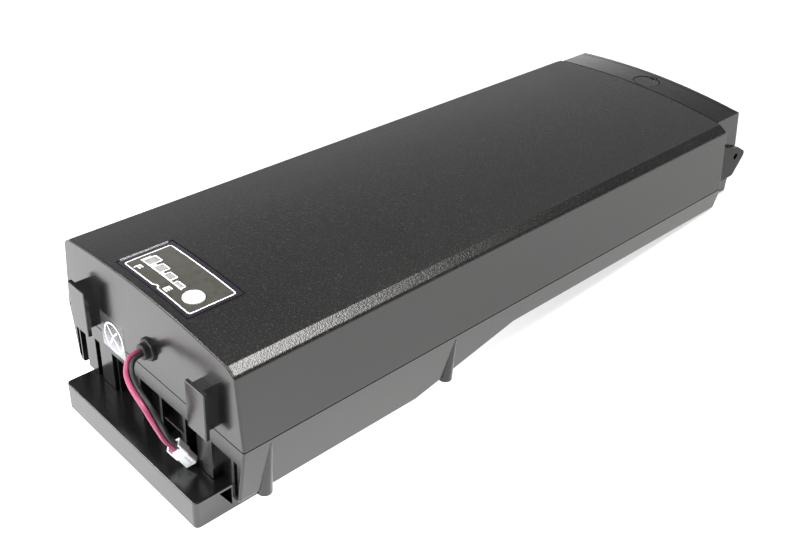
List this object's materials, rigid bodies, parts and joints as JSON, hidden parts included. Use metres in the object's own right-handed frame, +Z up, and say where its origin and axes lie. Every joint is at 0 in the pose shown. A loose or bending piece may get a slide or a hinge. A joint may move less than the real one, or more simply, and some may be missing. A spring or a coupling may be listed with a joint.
{
  "type": "battery pack",
  "caption": "Rechargeable bicycle battery pack with crowned cover, stepped lower shell, charge gauge with button, key lock, hooks and a short two-wire lead.",
  "frame": {"origin": "bottom centre of the pack without its lead: middle of its width and length, level with the underside of the front ledge", "axes": "+X to the right seen from the front, +Y from the front to the rear, +Z up"},
  "size_m": [0.1372, 0.3974, 0.0887],
  "materials": {
    "black_textured": "fine spark-eroded grain on the top, satin walls",
    "black_satin": "smooth satin moulding",
    "black_rubber": "matt moulded rubber",
    "red_wire": "glossy PVC insulation",
    "black_wire": "glossy PVC insulation",
    "white_nylon": "natural white nylon",
    "tinned_metal": "tin plated",
    "clear_film": "clear glossy film",
    "label_film": "dark satin polyester overlay",
    "light_guide": "milky acrylic",
    "white_button": "white satin moulding",
    "white_print": "screen printed white ink",
    "circuit_board": "solder mask green",
    "led_white": "diffused lens",
    "switch_black": "moulded component package",
    "steel_screw": "zinc plated",
    "ribbon_grey": "sleeved flat cable",
    "nickel": "nickel plate",
    "insulation": "fibre board",
    "heat_aluminium": "milled",
    "capacitor_sleeve": "heat shrink sleeve",
    "fuse_body": "translucent amber",
    "socket_plastic": "glass filled nylon",
    "contact_brass": "bright blades",
    "lock_zinc": "die cast, plated",
    "cell_sleeve": "printed heat shrink sleeve",
    "holder_plastic": "moulded ABS"
  },
  "bodies": {
    "pack": {"bms_board": "circuit_board", "bms_capacitors": "capacitor_sleeve", "bms_socket": "white_nylon", "bms_transistors": "switch_black", "board_screws": "steel_screw", "cable_minus": "black_wire", "cable_plus": "red_wire", "cap_screws": "steel_screw", "cell_group_1": "cell_sleeve", "cell_group_2": "cell_sleeve", "cell_group_3": "cell_sleeve", "cell_group_4": "cell_sleeve", "cell_group_5": "cell_sleeve", "cell_group_6": "cell_sleeve", "cell_group_7": "cell_sleeve", "cell_holder_1": "holder_plastic", "cell_holder_2": "holder_plastic", "cell_holder_3": "holder_plastic", "cell_holder_4": "holder_plastic", "cell_holder_5": "holder_plastic", "clear_sticker": "clear_film", "cover_screws": "steel_screw", "discharge_blades": "contact_brass", "discharge_socket": "socket_plastic", "end_terminals": "nickel", "front_ledge": "black_satin", "fuse_holder": "switch_black", "gauge_board": "circuit_board", "gauge_cable": "ribbon_grey", "gauge_label": "label_film", "gauge_leds": "led_white", "gauge_light_guide": "light_guide", "gauge_screws": "steel_screw", "gauge_switch": "switch_black", "grommet": "black_rubber", "heat_spreader": "heat_aluminium", "hook_left": "black_satin", "hook_right": "black_satin", "insulation_bottom": "insulation", "insulation_top": "insulation", "lead_black": "black_wire", "lead_connector": "white_nylon", "lead_contacts": "tinned_metal", "lead_red": "red_wire", "ledge_screws": "steel_screw", "lid_pin": "tinned_metal", "lock_barrel": "lock_zinc", "lower_shell": "black_satin", "main_fuse": "fuse_body", "rear_cap": "black_satin", "seam_gasket": "black_rubber", "series_links": "nickel", "side_lug": "black_satin", "socket_seal": "black_rubber", "top_cover": "black_textured"},
    "gauge_button": {"gauge_button": "white_button"},
    "lock_lid": {"lock_lid": "black_satin"},
    "lock_rotor": {"lock_rotor": "lock_zinc", "lock_tongue": "steel_screw"}
  },
  "joints": [
    {"name": "button_press", "type": "slide", "parent": "pack", "child": "gauge_button", "axis": [0, 0, -1], "range_m": [0, 0.0008], "stiffness_N_per_m": 400, "springref_m": -0.0006},
    {"name": "lid_swing", "type": "hinge", "parent": "pack", "child": "lock_lid", "pos_m": [0, 0.1838, 0.08745], "axis": [-1, 0, 0], "range_deg": [0, 100]},
    {"name": "key_turn", "type": "hinge", "parent": "pack", "child": "lock_rotor", "pos_m": [0, 0.1766, 0.0667], "axis": [0, 0, 1], "range_deg": [0, 90]}
  ]
}
